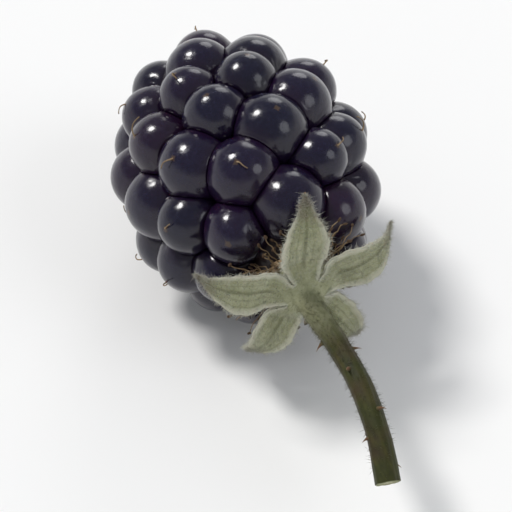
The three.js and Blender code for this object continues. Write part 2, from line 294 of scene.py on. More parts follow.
def hairs(roots, directions, lengths, thickness, bends):
    """Fine closed hairs with three sides, rooted in a surface: one bend, then a point."""
    roots, d, bends = (np.asarray(x, float) for x in (roots, directions, bends))
    d = unit(d)
    lengths = np.asarray(lengths, float)[:, None]
    thickness = np.broadcast_to(np.asarray(thickness, float), (len(roots),))[:, None]
    other = np.where(np.abs(d[:, :1]) < 0.8, [[1.0, 0, 0]], [[0, 1.0, 0]])
    a = unit(np.cross(d, other))
    b = np.cross(d, a)
    middle = roots + d * lengths * 0.55 + bends * lengths * 0.16
    tip = roots + d * lengths + bends * lengths * 0.5
    points = []
    for centre, share in ((roots, 1.0), (middle, 0.7)):
        for k in range(3):
            t = k * 2 * math.pi / 3
            points.append(centre + (a * math.cos(t) + b * math.sin(t)) * thickness * share)
    points.append(tip)
    points = np.stack(points, 1)
    one = [(0, 1, 4, 3), (1, 2, 5, 4), (2, 0, 3, 5), (3, 4, 6), (4, 5, 6), (5, 3, 6), (2, 1, 0)]
    faces = [tuple(k + 7 * i for k in f) for i in range(len(roots)) for f in one]
    return points.reshape(-1, 3), faces


def make_piece(name, shape, material, replaced=(), face_values=None, sharp=None):
    mesh = bpy.data.meshes.new(name)
    mesh.from_pydata((shape.all_points() * MM).tolist(), [], shape.faces)
    mesh.validate(verbose=False)
    mesh.polygons.foreach_set("use_smooth", np.ones(len(mesh.polygons), bool))
    for n, kept in shape.values.items():
        a = mesh.attributes.new(n, "FLOAT", "POINT")
        a.data.foreach_set("value", np.concatenate(kept).astype(np.float32))
    for n, kept in (face_values or {}).items():
        a = mesh.attributes.new(n, "FLOAT", "FACE")
        a.data.foreach_set("value", np.asarray(kept, np.float32))
    if sharp:
        ends = np.empty(len(mesh.edges) * 2, np.int32)
        mesh.edges.foreach_get("vertices", ends)
        marked = np.array([(min(a, b), max(a, b)) in sharp for a, b in ends.reshape(-1, 2)])
        a = mesh.attributes.new("sharp_edge", "BOOLEAN", "EDGE")
        a.data.foreach_set("value", marked)
    mesh.materials.append(material)
    mesh.update()
    piece = bpy.data.objects.new(name, mesh)
    bpy.context.scene.collection.objects.link(piece)
    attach(piece, "root")
    if replaced:
        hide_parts(*replaced)
    return piece


# ---- Materials -------------------------------------------------------------------------------------
class Finish:
    """A material's nodes. Positions are in mm, so a noise's scale is its detail per mm."""

    def __init__(self, name):
        self.material = bpy.data.materials.new(name)
        self.material.use_nodes = True
        self.tree = self.material.node_tree
        self.tree.nodes.clear()
        out = self.tree.nodes.new("ShaderNodeOutputMaterial")
        self.shader = self.tree.nodes.new("ShaderNodeBsdfPrincipled")
        self.link(self.shader.outputs["BSDF"], out.inputs["Surface"])
        place = self.tree.nodes.new("ShaderNodeTexCoord")
        scale = self.tree.nodes.new("ShaderNodeMapping")
        scale.inputs["Scale"].default_value = (1 / MM,) * 3
        self.link(place.outputs["Object"], scale.inputs["Vector"])
        self.place = scale.outputs["Vector"]

    def link(self, a, b):
        self.tree.links.new(a, b)

    def put(self, socket, value):
        if isinstance(value, bpy.types.NodeSocket):
            self.link(value, socket)
        elif isinstance(value, tuple) and len(value) == 3 and socket.type == "RGBA":
            socket.default_value = (*value, 1.0)
        else:
            socket.default_value = value

    def set(self, **inputs):
        for n, v in inputs.items():
            self.put(self.shader.inputs[n.replace("_", " ")], v)

    def value(self, attribute):
        n = self.tree.nodes.new("ShaderNodeAttribute")
        n.attribute_name = attribute
        return n.outputs["Fac"]

    def noise(self, scale, detail=3.0, rough=0.5, stretch=None, warp=0.0):
        n = self.tree.nodes.new("ShaderNodeTexNoise")
        where = self.place
        if stretch:
            m = self.tree.nodes.new("ShaderNodeMapping")
            m.inputs["Scale"].default_value = stretch
            self.link(where, m.inputs["Vector"])
            where = m.outputs["Vector"]
        self.link(where, n.inputs["Vector"])
        n.inputs["Scale"].default_value = scale
        n.inputs["Detail"].default_value = detail
        n.inputs["Roughness"].default_value = rough
        n.inputs["Distortion"].default_value = warp
        return n.outputs["Fac"]

    def spots(self, scale, smoothness=0.6):
        n = self.tree.nodes.new("ShaderNodeTexVoronoi")
        n.feature = "SMOOTH_F1"
        self.link(self.place, n.inputs["Vector"])
        n.inputs["Scale"].default_value = scale
        n.inputs["Smoothness"].default_value = smoothness
        return n.outputs["Distance"]

    def math(self, kind, a, b=0.0, c=0.0):
        n = self.tree.nodes.new("ShaderNodeMath")
        n.operation = kind
        for socket, v in zip(n.inputs, (a, b, c)):
            self.put(socket, v)
        return n.outputs["Value"]

    def ramp(self, value, *stops):
        """A number from a number: stops are (position, result)."""
        return self._ramp(value, [(p, (v, v, v)) for p, v in stops])

    def colours(self, value, *stops):
        return self._ramp(value, stops)

    def _ramp(self, value, stops):
        n = self.tree.nodes.new("ShaderNodeValToRGB")
        r = n.color_ramp
        while len(r.elements) < len(stops):
            r.elements.new(1.0)
        for e, (p, c) in zip(r.elements, stops):
            e.position, e.color = p, (*c, 1.0)
        self.put(n.inputs["Fac"], value)
        return n.outputs["Color"]

    def mix(self, share, a, b, kind="MIX"):
        n = self.tree.nodes.new("ShaderNodeMix")
        n.data_type, n.blend_type = "RGBA", kind
        self.put(n.inputs["Factor"], share)
        self.put(n.inputs["A"] if n.inputs["A"].type == "RGBA" else n.inputs[6], a)
        self.put(n.inputs["B"] if n.inputs["B"].type == "RGBA" else n.inputs[7], b)
        return n.outputs[2]

    def bump(self, height, strength, distance_mm, over=None):
        n = self.tree.nodes.new("ShaderNodeBump")
        n.inputs["Strength"].default_value = strength
        n.inputs["Distance"].default_value = distance_mm * MM
        self.put(n.inputs["Height"], height)
        if over is not None:
            self.link(over, n.inputs["Normal"])
        return n.outputs["Normal"]


# ---- The fruit ---------------------------------------------------------------------------------------
CREASE_STEPS = 10
RINGS = 19
SOFTNESS = 3.0  # how softly a drupelet turns from its own round to the side pressed on a neighbour


def dome(k, directions, tightness, normal, wide, tall, walls, wobble):
    """How far drupelet k reaches from its centre in each direction: round where it is free, and
    held back by the walls that it shares with its neighbours."""
    c = np.clip(directions @ normal[k], -1, 1)
    free = 1 / np.sqrt((1 - c * c) / wide[k] ** 2 + c * c / tall[k] ** 2)
    for vector, phase, size in wobble[k]:
        free = free * (1 + size * np.sin(directions @ vector + phase))
    total = np.exp(-tightness * free)
    nearest = np.full(len(directions), 20.0)
    for toward, m in walls[k]:
        facing = directions @ toward
        reach = np.where(facing > 0.05, m / np.maximum(facing, 0.05), 20.0)
        nearest = np.minimum(nearest, reach)
        total = total + np.exp(-tightness * np.minimum(reach, 20.0))
    return -np.log(total) / tightness, nearest


def make_berry():
    rng = np.random.default_rng(4)
    rows = np.array(DRUPELETS)
    centre = np.vstack([rows[:, :3], CALYX_POLE])
    normal = unit(np.vstack([rows[:, 3:6], (0, -1, 0)]))
    plump = 1 + 0.05 * (rng.random(len(rows)) - 0.5)
    wide = np.append(rows[:, 6] * DRUPELET_SPREAD * 1.01 * plump, 2.2)
    tall = np.append(rows[:, 7], 2.0)
    wobble = [[(unit(rng.normal(size=3)) * rng.uniform(1.4, 3.2), rng.uniform(0, 6.28), 0.011)
               for _ in range(3)] for _ in centre]

    def corner(t):
        """Where three drupelets meet: on the line where their power distances agree."""
        a, b, c = centre[list(t)]
        n = unit(np.cross(b - a, c - a))
        wa, wb, wc = wide[list(t)]
        at = np.linalg.solve(
            np.array([2 * (b - a), 2 * (c - a), n]),
            np.array([b @ b - a @ a - wb**2 + wa**2, c @ c - a @ a - wc**2 + wa**2, n @ a]))
        reach = np.mean([np.linalg.norm(at - q) for q in (a, b, c)])
        meet = math.sqrt(max(((wa + wb + wc) / 3) ** 2 - reach**2, 0))
        return at + n * np.clip(meet - 0.42, 0.15, 1.4)

    # Where four drupelets nearly meet, the two that touch are the ones whose sizes say so.
    faces_of = [tuple(t) for t in FACES]
    for _ in range(60):
        by_edge = {}
        for k, t in enumerate(faces_of):
            for p in range(3):
                by_edge[(t[p], t[(p + 1) % 3])] = (k, t[(p + 2) % 3])
        for (i, j), (s, far) in by_edge.items():
            t, near = by_edge[(j, i)]
            apart = (corner(faces_of[s]) - corner(faces_of[t])) @ unit(centre[far] - centre[near])
            if i < j and apart < 0 and (far, near) not in by_edge:
                faces_of[s], faces_of[t] = (far, i, near), (near, j, far)
                break
        else:
            break
    corners = [corner(t) for t in faces_of]
    points = list(corners)

    # The crease between two drupelets: in the plane between them, bulging out between its ends.
    shared = {}
    for k, t in enumerate(faces_of):
        for a, b in ((0, 1), (1, 2), (2, 0)):
            shared.setdefault(tuple(sorted((t[a], t[b]))), []).append(k)
    crease, walls, sharp = {}, [[] for _ in centre], set()
    u = (np.arange(1, CREASE_STEPS) / CREASE_STEPS)[:, None]
    for (i, j), (s, t) in shared.items():
        span = centre[j] - centre[i]
        d = np.linalg.norm(span)
        toward = span / d
        m = (d * d + wide[i] ** 2 - wide[j] ** 2) / (2 * d)
        walls[i].append((toward, m))
        walls[j].append((-toward, d - m))
        foot = centre[i] + m * toward
        out = normal[i] + normal[j]
        out = unit(out - out @ toward * toward)
        over = np.cross(toward, out)
        spans = [np.array([(corners[q] - foot) @ out, (corners[q] - foot) @ over]) for q in (s, t)]
        turns = [math.atan2(q[1], q[0]) for q in spans]
        reaches = [np.linalg.norm(q) for q in spans]
        meet = math.sqrt(max(((wide[i] + wide[j]) / 2) ** 2 - (d / 2) ** 2, 0))
        turn = (1 - u) * turns[0] + u * turns[1]
        level = (1 - u) * reaches[0] + u * reaches[1]
        rise = np.sin(u * math.pi) * min(1.0, np.linalg.norm(corners[s] - corners[t]) / 1.4)
        level = level + rise * np.maximum(meet - 0.38 - level, 0.0)
        ids = list(range(len(points), len(points) + CREASE_STEPS - 1))
        points.extend(foot + level * (np.cos(turn) * out + np.sin(turn) * over))
        crease[(i, j)] = (s, t, ids)
        line = [s, *ids, t]
        sharp |= {(min(a, b), max(a, b)) for a, b in zip(line, line[1:])}

    crown = [1.0] * len(points)
    faces, face_cell = [], []
    crowns = []
    for k in range(len(centre)):
        step = {}
        for f, t in enumerate(faces_of):
            if k in t:
                p = t.index(k)
                step[t[(p + 1) % 3]] = (f, t[(p + 2) % 3])
        loop, here = [], next(iter(step))
        for _ in step:
            f, following = step[here]
            s, t, ids = crease[tuple(sorted((k, following)))]
            loop += [f] + (ids if s == f else ids[::-1])
            here = following
        rim = np.array([points[v] for v in loop])
        size = len(loop)
        first = len(points)
        if k == CALYX:
            # The end of the core, under the calyx: a low mound inside the ring of drupelets.
            rings = 9
            top = np.array([0, 1.62, 0.0])
            for r in range(1, rings):
                s = r / rings
                ring = top + (rim - top) * (s, s**2.4, s)
                ring[:, 1] = 1.62 + (rim[:, 1] - 1.62) * s**2.4
                points.extend(ring)
                crown += [0.6 + 0.4 * s] * size
        else:
            rings = RINGS
            spokes = rim - centre[k]
            spokes = unit(spokes)
            angle = np.arccos(np.clip(spokes @ normal[k], -1, 1))[:, None]
            tools = (normal, wide, tall, walls, wobble)
            for r in range(1, rings):
                x = r / rings
                s = 1 - (1 - x) ** 1.45
                direction = (np.sin((1 - s) * angle) * normal[k] + np.sin(s * angle) * spokes) / np.sin(angle)
                direction = unit(direction)
                reach, wall = dome(k, direction, SOFTNESS + 13.0 * smooth((s - 0.62) / 0.38), *tools)
                reach = reach + smooth((s - 0.84) / 0.16) * (wall - reach)
                points.extend(centre[k] + direction * reach[:, None])
                crown += [s] * size
            top = centre[k] + normal[k] * dome(k, normal[k][None], SOFTNESS, *tools)[0][0]
        middle = len(points)
        points.append(top)
        crown.append(0.0 if k != CALYX else 0.6)
        crowns.append((top, normal[k]))
        ring_ids = [[first + r * size + c for c in range(size)] for r in range(rings - 1)] + [loop]
        for c in range(size):
            e = (c + 1) % size
            faces.append((middle, ring_ids[0][c], ring_ids[0][e]))
            face_cell.append(k)
            for inner, outer in zip(ring_ids, ring_ids[1:]):
                faces.append((inner[c], outer[c], outer[e], inner[e]))
                face_cell.append(k)

    placed = to_row(points, rolled=True)
    # The surface presses the lowest crowns flat.
    placed[:, 2] = np.where(placed[:, 2] < 0.4,
                            0.5 * (placed[:, 2] + np.sqrt(placed[:, 2] ** 2 + 0.05**2))
                            - 0.00155 * smooth(placed[:, 2] / 0.4), placed[:, 2])
    shape = Shape("crown")
    shape.add(placed, faces, crown=crown)
    tone = rng.random(len(centre))
    # Some drupelets are less ripe: redder. They lie together, more of them near the calyx.
    ripe = np.array([0.5 + 0.5 * math.sin(c[0] * 0.33 + 1.1) * math.sin(c[1] * 0.31 + c[2] * 0.22 + 0.4)
                     for c in centre]) * 0.6 + 0.4 * rng.random(len(centre))
    ripe[CALYX] = 1.0
    values = {"tone": tone[face_cell], "ripe": ripe[face_cell],
              "core": (np.array(face_cell) == CALYX).astype(float)}
    piece = make_piece("bramble_fruit", shape, berry_finish(), ("berry",), values, sharp)
    return piece, [(to_row(p[None], True)[0], turn_x(PITCH) @ turn_y(ROLL) @ n) for p, n in crowns[:-1]]


def berry_finish():
    f = Finish("drupelet_skin")
    crown, tone, ripe, core = (f.value(n) for n in ("crown", "tone", "ripe", "core"))
    patches = f.noise(0.55, 3, 0.55)
    fine = f.noise(3.2, 4, 0.6)
    shade = f.math("ADD", f.math("MULTIPLY", tone, 0.75), f.math("MULTIPLY", patches, 0.35))
    dark = f.colours(shade, (0.0, (0.0026, 0.0028, 0.0125)), (0.45, (0.0036, 0.0032, 0.0170)),
                     (0.75, (0.0058, 0.0036, 0.0195)), (1.0, (0.0110, 0.0042, 0.0200)))
    red = f.colours(patches, (0.25, (0.028, 0.0048, 0.0165)), (0.8, (0.052, 0.0066, 0.0200)))
    share = f.ramp(ripe, (0.0, 0.0), (0.66, 0.02), (0.88, 0.22), (1.0, 0.55))
    skin = f.mix(share, dark, red)
    # The flesh is redder where a drupelet turns down to its neighbours, and this also paints the glow of light
    # shining through the thin flesh there.
    skin = f.mix(f.ramp(crown, (0.0, 0.0), (0.55, 0.06), (0.9, 0.30), (1.0, 0.15)), skin, (0.022, 0.0042, 0.0170))
    # A thin waxy bloom, thickest in the middle of each crown; its paler blue also paints the sheen of light on the
    # crowns.
    bloom_and_sheen = f.math("MULTIPLY", f.ramp(crown, (0.0, 0.9), (0.5, 0.6), (0.85, 0.12), (1.0, 0.0)),
                   f.ramp(fine, (0.40, 0.0), (0.78, 0.20)))
    skin = f.mix(bloom_and_sheen, skin, (0.036, 0.037, 0.084))
    skin = f.mix(f.ramp(crown, (0.0, 0.75), (0.045, 0.6), (0.07, 0.0)), skin, (0.085, 0.050, 0.028))
    # The end of the core: pale, with painted shade darkening it towards its rim, deep in the creases under the
    # drupelets and the calyx.
    pale = f.colours(patches, (0.3, (0.12, 0.085, 0.06)), (0.8, (0.22, 0.18, 0.11)))
    pale = f.mix(f.ramp(crown, (0.0, 0.0), (0.72, 0.25), (0.85, 0.9), (1.0, 1.0)), pale, (0.020, 0.008, 0.012))
    skin = f.mix(core, skin, pale)
    rough = f.math("ADD", f.ramp(fine, (0.3, 0.13), (0.8, 0.25)), f.math("MULTIPLY", bloom_and_sheen, 0.5))
    rough = f.math("ADD", rough, f.math("MULTIPLY", core, 0.4))
    f.set(Base_Color=skin, Roughness=rough, IOR=1.38, Coat_Weight=0.38, Coat_Roughness=0.04,
          Coat_IOR=1.40, Subsurface_Weight=0.08, Subsurface_Radius=(0.9, 0.12, 0.2), Subsurface_Scale=0.0006)
    pores = f.noise(16.0, 2, 0.6)
    swell = f.noise(1.3, 2, 0.5)
    f.set(Normal=f.bump(pores, 0.22, 0.02, f.bump(swell, 0.35, 0.12)))
    return f.material


# ---- Withered styles on the crowns ----------------------------------------------------------------------
def make_styles(crowns):
    rng = np.random.default_rng(9)
    shape = Shape("along")
    low, high = (np.array(c) / MM for c in cad_box)
    for top, out in crowns:
        chance, size, turn = rng.random(), rng.uniform(0.7, 1.25), rng.uniform(0, 6.28)
        bends = rng.normal(size=3)
        if chance > 0.55 or top[2] < 2.0 or out[2] < -0.55:
            continue
        side = unit(np.cross(out, (0.3, 0.2, 0.93)))
        side = math.cos(turn) * side + math.sin(turn) * np.cross(out, side)
        across = np.cross(out, side)
        t = np.linspace(0, 1, 13)[:, None]
        path = (top - out * 0.08 + out * size * 0.42 * np.sin(t * 2.1) + side * size * 0.85 * t**1.25
                + across * size * (0.20 * bends[0] * t**2 + 0.05 * np.sin(t * 7 + bends[1]) * t)
                - out * size * 0.14 * t**2)
        if np.any(path < low - 0.1) or np.any(path > high + 0.2):
            continue
        radii = 0.052 * (1 - 0.45 * t[:, 0]) * (1 + 0.5 * np.exp(-(((t[:, 0] - 1) / 0.08) ** 2)))
        radii[0] *= 1.5
        points, faces = tube(path, radii, 6, side)
        shape.add(points, faces, along=np.append(np.repeat(t[:, 0] * 0.8, 6), (0, 0.8)))
    return make_piece("withered_styles", shape, dry_finish("withered_style"))


def dry_finish(name):
    f = Finish(name)
    far = f.value("along")
    spots = f.noise(2.4, 3, 0.6)
    colour = f.mix(f.ramp(far, (0.0, 0.0), (0.75, 0.35), (1.0, 1.0)),
                   f.colours(spots, (0.3, (0.170, 0.110, 0.058)), (0.7, (0.330, 0.240, 0.140))),
                   (0.070, 0.042, 0.024))
    f.set(Base_Color=colour, Roughness=f.ramp(spots, (0.2, 0.62), (0.8, 0.9)), IOR=1.4,
          Specular_IOR_Level=0.35,
          Normal=f.bump(f.noise(14, 3, 0.6), 0.5, 0.03))
    return f.material


# ---- The stalk with the cup of the calyx --------------------------------------------------------------
CUP = [  # radius, y, from the stalk up over the rim and in to the top, which meets the core
    (0.74, -1.70), (0.79, -1.42), (0.88, -1.15), (1.06, -0.88), (1.30, -0.68), (1.60, -0.51),
    (1.86, -0.36), (2.01, -0.20), (2.07, -0.02), (2.06, 0.16), (1.97, 0.33), (1.80, 0.45),
    (1.62, 0.56), (1.50, 0.74), (1.44, 1.00), (1.36, 1.30), (1.18, 1.52), (0.85, 1.66), (0.45, 1.72),
]
STALK_RADIUS = 0.70
SIDES = 60


def make_pedicel():
    rng = np.random.default_rng(21)
    t = np.linspace(1.0, 0.215, 84)
    line = spline(STALK_POINTS, t)
    path = np.vstack([line, [(0, y, 0) for _, y in CUP]])
    ahead, side = carried(path, (1.0, 0, 0.2))
    up = np.cross(ahead, side)
    down = np.linspace(0, 1, len(line))  # 0 at the cut, 1 at the calyx
    radius = STALK_RADIUS * (1.0 - 0.07 * np.sin(down * math.pi) + 0.015 * np.sin(down * 17))
    radius = np.concatenate([radius, [r for r, _ in CUP]])
    turn = np.arange(SIDES) / SIDES * 2 * math.pi
    n = len(path)
    share = np.concatenate([np.ones(len(line)), np.linspace(0.8, 0.1, len(CUP))])[:, None]
    s = np.arange(n)[:, None] * 0.11
    ridges = (0.030 * np.cos(5 * turn + 0.25 * np.sin(s * 0.9)) + 0.014 * np.cos(13 * turn + 1.3 * np.sin(s * 0.7))
              + 0.012 * np.sin(3 * turn + s * 1.9) + 0.006 * np.sin(9 * turn - s * 5.1)) * share
    lobes = np.concatenate([np.zeros(len(line)), 0.035 * np.sin(np.linspace(0, 1, len(CUP)) * math.pi)])[:, None]
    world_turn = np.arctan2((np.sin(turn) * up[-1, 2] + np.cos(turn) * side[-1, 2]),
                            (np.sin(turn) * up[-1, 0] + np.cos(turn) * side[-1, 0]))
    ridges = ridges + lobes * np.cos(5 * (world_turn - math.radians(18)))
    around = np.cos(turn)[None, :, None] * side[:, None] + np.sin(turn)[None, :, None] * up[:, None]
    rings = path[:, None] + around * (radius[:, None] * (1 + ridges))[:, :, None]
    # The cut end: a rim, a ring of wood and a sunken pith.
    cap = []
    for part, inset in ((0.16, 0.050), (0.34, 0.045), (0.44, 0.010), (0.72, 0.0), (0.90, -0.004), (0.975, 0.006)):
        rough = 0.012 * np.sin(turn * 7 + part * 20) * (part > 0.3)
        cap.append(path[0] + (rings[0] - path[0]) * part + ahead[0] * (inset + rough[:, None]))
    rings = np.vstack([np.array(cap), rings + np.where(np.arange(n)[:, None, None] == 0, ahead[0] * 0.03, 0)])
    rows = len(rings)
    shape = Shape("along", "cut", "prickle")
    points = np.vstack([rings.reshape(-1, 3), path[0] + ahead[0] * 0.045, (0, 1.74, 0)])
    faces = grid_faces(rows, SIDES)
    last = rows * SIDES
    for k in range(SIDES):
        faces.append((last, (k + 1) % SIDES, k))
        faces.append((last + 1, last - SIDES + k, last - SIDES + (k + 1) % SIDES))
    where = np.concatenate([np.zeros(6), down, 1 + np.linspace(0.02, 1, len(CUP))])
    cut = np.concatenate([[1.0, 1.0, 0.62, 0.55, 0.45, 0.3], np.zeros(n)])
    shape.add(points, faces, along=np.append(np.repeat(where, SIDES), (0, 2)),
              cut=np.append(np.repeat(cut, SIDES), (1, 0)))

    # A few fine prickles, and short down all over.
    for at, turned, size in ((0.10, 0.7, 0.62), (0.24, 3.6, 0.5), (0.36, 5.3, 0.72), (0.47, 1.9, 0.55),
                             (0.58, 4.3, 0.66), (0.69, 0.1, 0.5), (0.80, 2.9, 0.6), (0.30, 2.2, 0.45)):
        i = int(at * (len(line) - 1))
        out = math.cos(turned) * side[i] + math.sin(turned) * up[i]
        root = path[i] + out * radius[i] * 0.93
        q = np.linspace(0, 1, 7)[:, None]
        thorn = root + out * size * q - ahead[i] * size * 0.42 * q**2
        p, f = tube(thorn, [0.16, 0.115, 0.082, 0.056, 0.036, 0.019, 0.006], 10, ahead[i])
        shape.add(p, f, along=down[i], prickle=np.append(np.repeat(0.35 + 0.65 * q[:, 0], 10), (0.3, 1)))
    count = 2300
    i = np.sqrt(rng.random(count)) * (len(path) - 9) + 0.5
    i0 = i.astype(int)
    f = (i - i0)[:, None]
    c = path[i0] * (1 - f) + path[i0 + 1] * f
    rr = (radius[i0] * (1 - f[:, 0]) + radius[i0 + 1] * f[:, 0])[:, None]
    a = rng.random(count) * 2 * math.pi
    out = np.cos(a)[:, None] * side[i0] + np.sin(a)[:, None] * up[i0]
    lean = unit(out + 0.45 * rng.normal(size=(count, 3)) - ahead[i0] * 0.15)
    p, fs = hairs(c + out * rr * 0.965, lean, 0.13 + 0.24 * rng.random(count) ** 1.6, 0.0105, rng.normal(size=(count, 3)) * 0.5)
    shape.add(p, fs, along=np.repeat(np.where(i < len(line), i / len(line), 1.3), 7), prickle=0.28)
    shape.points = [to_row(q) for q in shape.points]
    return make_piece("stalk_and_cup", shape, stalk_finish(), ("pedicel",))


def stalk_finish():
    f = Finish("downy_stalk")
    far, cut, prickle = f.value("along"), f.value("cut"), f.value("prickle")
    broad = f.noise(0.5, 3, 0.55)
    streaks = f.noise(3.0, 4, 0.6, stretch=(1.0, 0.16, 1.0))
    green = f.colours(streaks, (0.25, (0.016, 0.018, 0.0030)), (0.55, (0.032, 0.035, 0.0060)),
                      (0.85, (0.058, 0.060, 0.0130)))
    red = f.colours(streaks, (0.3, (0.040, 0.018, 0.010)), (0.8, (0.072, 0.037, 0.018)))
    skin = f.mix(f.ramp(broad, (0.42, 0.0), (0.72, 0.62)), green, red)
    mottle = f.noise(1.6, 4, 0.6)
    felt = f.noise(9.0, 4, 0.65)
    cup = f.colours(mottle, (0.25, (0.185, 0.196, 0.092)), (0.5, (0.262, 0.272, 0.148)), (0.8, (0.375, 0.377, 0.240)))
    cup = f.mix(f.ramp(felt, (0.35, 0.0), (0.75, 0.45)), cup, (0.460, 0.460, 0.350))
    skin = f.mix(f.ramp(f.math("MULTIPLY", far, 0.5), (0.36, 0.0), (0.49, 0.55), (0.58, 1.0)), skin, cup)
    face = f.colours(cut, (0.0, (0.10, 0.11, 0.04)), (0.45, (0.17, 0.18, 0.08)), (0.62, (0.24, 0.24, 0.12)),
                     (1.0, (0.42, 0.40, 0.27)))
    skin = f.mix(f.ramp(cut, (0.0, 0.0), (0.25, 1.0)), skin, face)
    skin = f.mix(f.ramp(prickle, (0.0, 0.0), (0.25, 0.35), (0.6, 0.75), (1.0, 1.0)), skin,
                 f.colours(prickle, (0.3, (0.130, 0.130, 0.060)), (0.6, (0.150, 0.070, 0.038)),
                           (1.0, (0.200, 0.120, 0.060))))
    f.set(Base_Color=skin, Roughness=f.ramp(streaks, (0.2, 0.5), (0.8, 0.74)), IOR=1.42,
          Specular_IOR_Level=0.3, Sheen_Weight=0.05, Sheen_Roughness=0.45,
          Normal=f.bump(f.noise(9.0, 3, 0.6, stretch=(1.0, 0.3, 1.0)), 0.5, 0.03, f.bump(streaks, 0.5, 0.05)))
    return f.material


# ---- The sepals -----------------------------------------------------------------------------------------
SEPAL_BASE = [(1.16, -0.62, 0), (1.42, -0.49, 0), (1.70, -0.335, 0), (1.92, -0.20, 0), (2.10, -0.105, 0),
              (2.28, -0.04, 0)]
ACROSS = 25


def sepal_surface(form, seed):
    """at(t, v, inner) gives points of one sepal in its own frame, with the direction off its face.
    t is 0 where it grows from the cup and 1 at its tip, v is -1..1 across."""
    _, length, width, lift, bend = form
    rng = np.random.default_rng(seed)
    middle = [(SEPAL_START, 0.0, 0), (SEPAL_START + length * 0.3, -0.15 - lift * 0.2, bend * 0.1),
              (SEPAL_START + length * 0.6, 0.4 - lift * 0.6, bend * 0.5),
              (SEPAL_START + length * 0.82, 1.6 - lift, bend)]
    line = np.vstack([SEPAL_BASE, spline(middle, np.linspace(0, 1, 60))])
    steps = np.concatenate([[0], np.cumsum(np.linalg.norm(np.diff(line, axis=0), axis=1))])
    steps /= steps[-1]
    ahead = along(line)
    side = unit(np.array([0, 0, 1.0]) - ahead * ahead[:, 2:3])
    up = np.cross(side, ahead)
    phase = rng.uniform(0, 6.28, 6)
    curl = rng.uniform(0.05, 0.17, 2)

    def pick(values, t):
        return np.stack([np.interp(t, steps, values[:, k]) for k in range(3)], -1)

    def at(t, v, inner):
        t, v = np.broadcast_arrays(np.asarray(t, float), np.asarray(v, float))
        half = width / 2 * table([0, 0.1, 0.2, 0.32, 0.44, 0.56, 0.68, 0.79, 0.88, 0.95, 1.0],
                                 [0.50, 0.68, 0.87, 0.98, 1.0, 0.91, 0.70, 0.44, 0.23, 0.11, 0.035], t)
        edge = 1 + 0.025 * np.sin(t * 31 + phase[0]) + 0.018 * np.sin(t * 57 + phase[1] + v * 2)
        c, a, s, u = (pick(x, t) for x in (line, ahead, side, up))
        s, u = unit(s), unit(u)
        left = np.where(v < 0, curl[0], curl[1])
        rise = (-0.11 * half * v * v - left * half * np.abs(v) ** 3.5 * smooth((t - 0.1) * 2)
                + 0.07 * np.sin(t * 7.5 + phase[2]) * v * smooth(t * 2)
                + 0.055 * np.sin(t * 12 + phase[3]) * v * v * smooth(t * 2)
                + 0.10 * smooth((t - 0.8) * 5) * math.sin(phase[4]))
        thick = (0.155 * (1 - 0.62 * np.abs(v) ** 2.2) + 0.02) * table(
            [0, 0.1, 0.22, 0.5, 0.85, 1.0], [0.30, 0.75, 1.0, 0.85, 0.55, 0.22], t)
        if inner:
            off = rise + thick - 0.03 * np.exp(-((v / 0.12) ** 2)) * (1 - t)
        else:
            veins = (0.085 * np.exp(-((v / 0.085) ** 2)) + 0.026 * np.exp(-(((np.abs(v) - 0.36) / 0.07) ** 2))
                     + 0.020 * np.exp(-(((np.abs(v) - 0.68) / 0.06) ** 2)))
            off = rise - thick - veins * np.clip(1.05 - t, 0, 1) ** 0.5 * smooth((t - 0.06) / 0.2)
        p = c + s * (v * half * edge)[..., None] + u * off[..., None]
        # Near the cup the sepal wraps round it instead of crossing it straight.
        r = np.maximum(p[..., 0], 0.3)
        round_cup = np.stack([r * np.cos(p[..., 2] / r), p[..., 1], r * np.sin(p[..., 2] / r)], -1)
        wrap = (1 - smooth((t - 0.14) / 0.30))[..., None]
        return p + (round_cup - p) * wrap, (u if inner else -u), s, a

    return at


